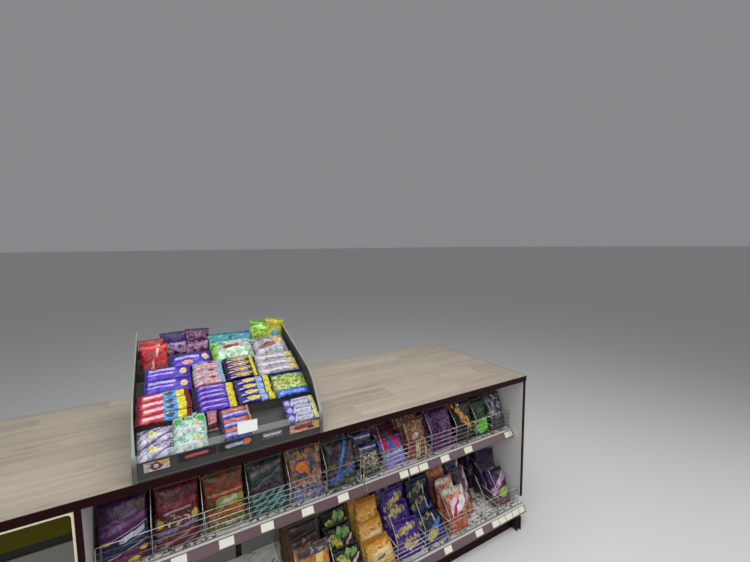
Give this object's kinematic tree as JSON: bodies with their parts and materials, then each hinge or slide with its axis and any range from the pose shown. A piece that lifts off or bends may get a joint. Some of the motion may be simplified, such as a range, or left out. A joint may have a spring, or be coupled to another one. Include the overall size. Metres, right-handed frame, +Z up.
{
  "type": "shop counter",
  "caption": "Shop sales counter with wire-fronted confectionery shelves, an open display bay and a stepped sweets stand on its worktop.",
  "frame": {"origin": "centre of the counter's footprint, on the floor", "axes": "+X along the counter to the customer's right, +Y from the customer towards the staff, +Z up"},
  "size_m": [3.066, 0.866, 1.28],
  "materials": {
    "laminate_top": "pale wood-grain laminate, satin",
    "maroon_edging": "dark maroon plastic edging, satin",
    "white_melamine": "white melamine board",
    "maroon_board": "dark maroon painted board",
    "dark_steel": "dark powder-coated steel",
    "grey_steel": "grey powder-coated steel sheet",
    "deck_steel": "light grey shelf steel with a mottled liner",
    "ticket_rail": "pinkish brown extruded plastic rail with a bright lip",
    "bright_wire": "bright plated wire",
    "trim_cream": "cream plastic trim",
    "olive_lining": "olive yellow lining board",
    "stand_grey": "grey powder-coated sheet metal",
    "clear_strip": "clear acrylic strip",
    "bag_film": "printed glossy packaging film, plain bands and shapes",
    "pack_film": "printed glossy wrappers, plain bands and shapes"
  },
  "bodies": {
    "root": {"worktop": "laminate_top", "long_edgings": "maroon_edging", "end_edgings": "maroon_edging", "left_end_panel": "white_melamine", "bay_partition": "white_melamine", "support_panel": "white_melamine", "right_end_panel": "white_melamine", "board_edgings": "maroon_edging", "kick_plates": "maroon_board", "base_legs": "dark_steel", "slotted_uprights": "dark_steel", "back_panels": "grey_steel", "base_decks": "deck_steel", "upper_decks": "deck_steel", "shelf_brackets": "dark_steel", "base_ticket_rails": "ticket_rail", "upper_ticket_rails": "ticket_rail", "base_fences": "bright_wire", "upper_fences": "bright_wire", "base_dividers": "bright_wire", "upper_dividers": "bright_wire", "display_trim": "trim_cream", "display_floor": "white_melamine", "display_back": "dark_steel", "display_lower_lining": "grey_steel", "display_upper_lining": "olive_lining", "staff_shelves": "white_melamine", "staff_floors": "white_melamine", "stand_sides": "stand_grey", "stand_fascia": "stand_grey", "stand_tray_1": "stand_grey", "stand_tray_2": "stand_grey", "stand_tray_3": "stand_grey", "stand_tray_4": "stand_grey", "stand_rear_tray": "stand_grey", "stand_back": "stand_grey", "stand_clear_strip": "clear_strip", "bags_upper_left": "bag_film", "bags_upper_right": "bag_film", "bags_base_left": "bag_film", "bags_base_right": "bag_film", "packs_tray_1": "pack_film", "packs_tray_2": "pack_film", "packs_tray_3": "pack_film", "packs_tray_4": "pack_film", "bags_rear_tray": "bag_film"}
  },
  "joints": []
}
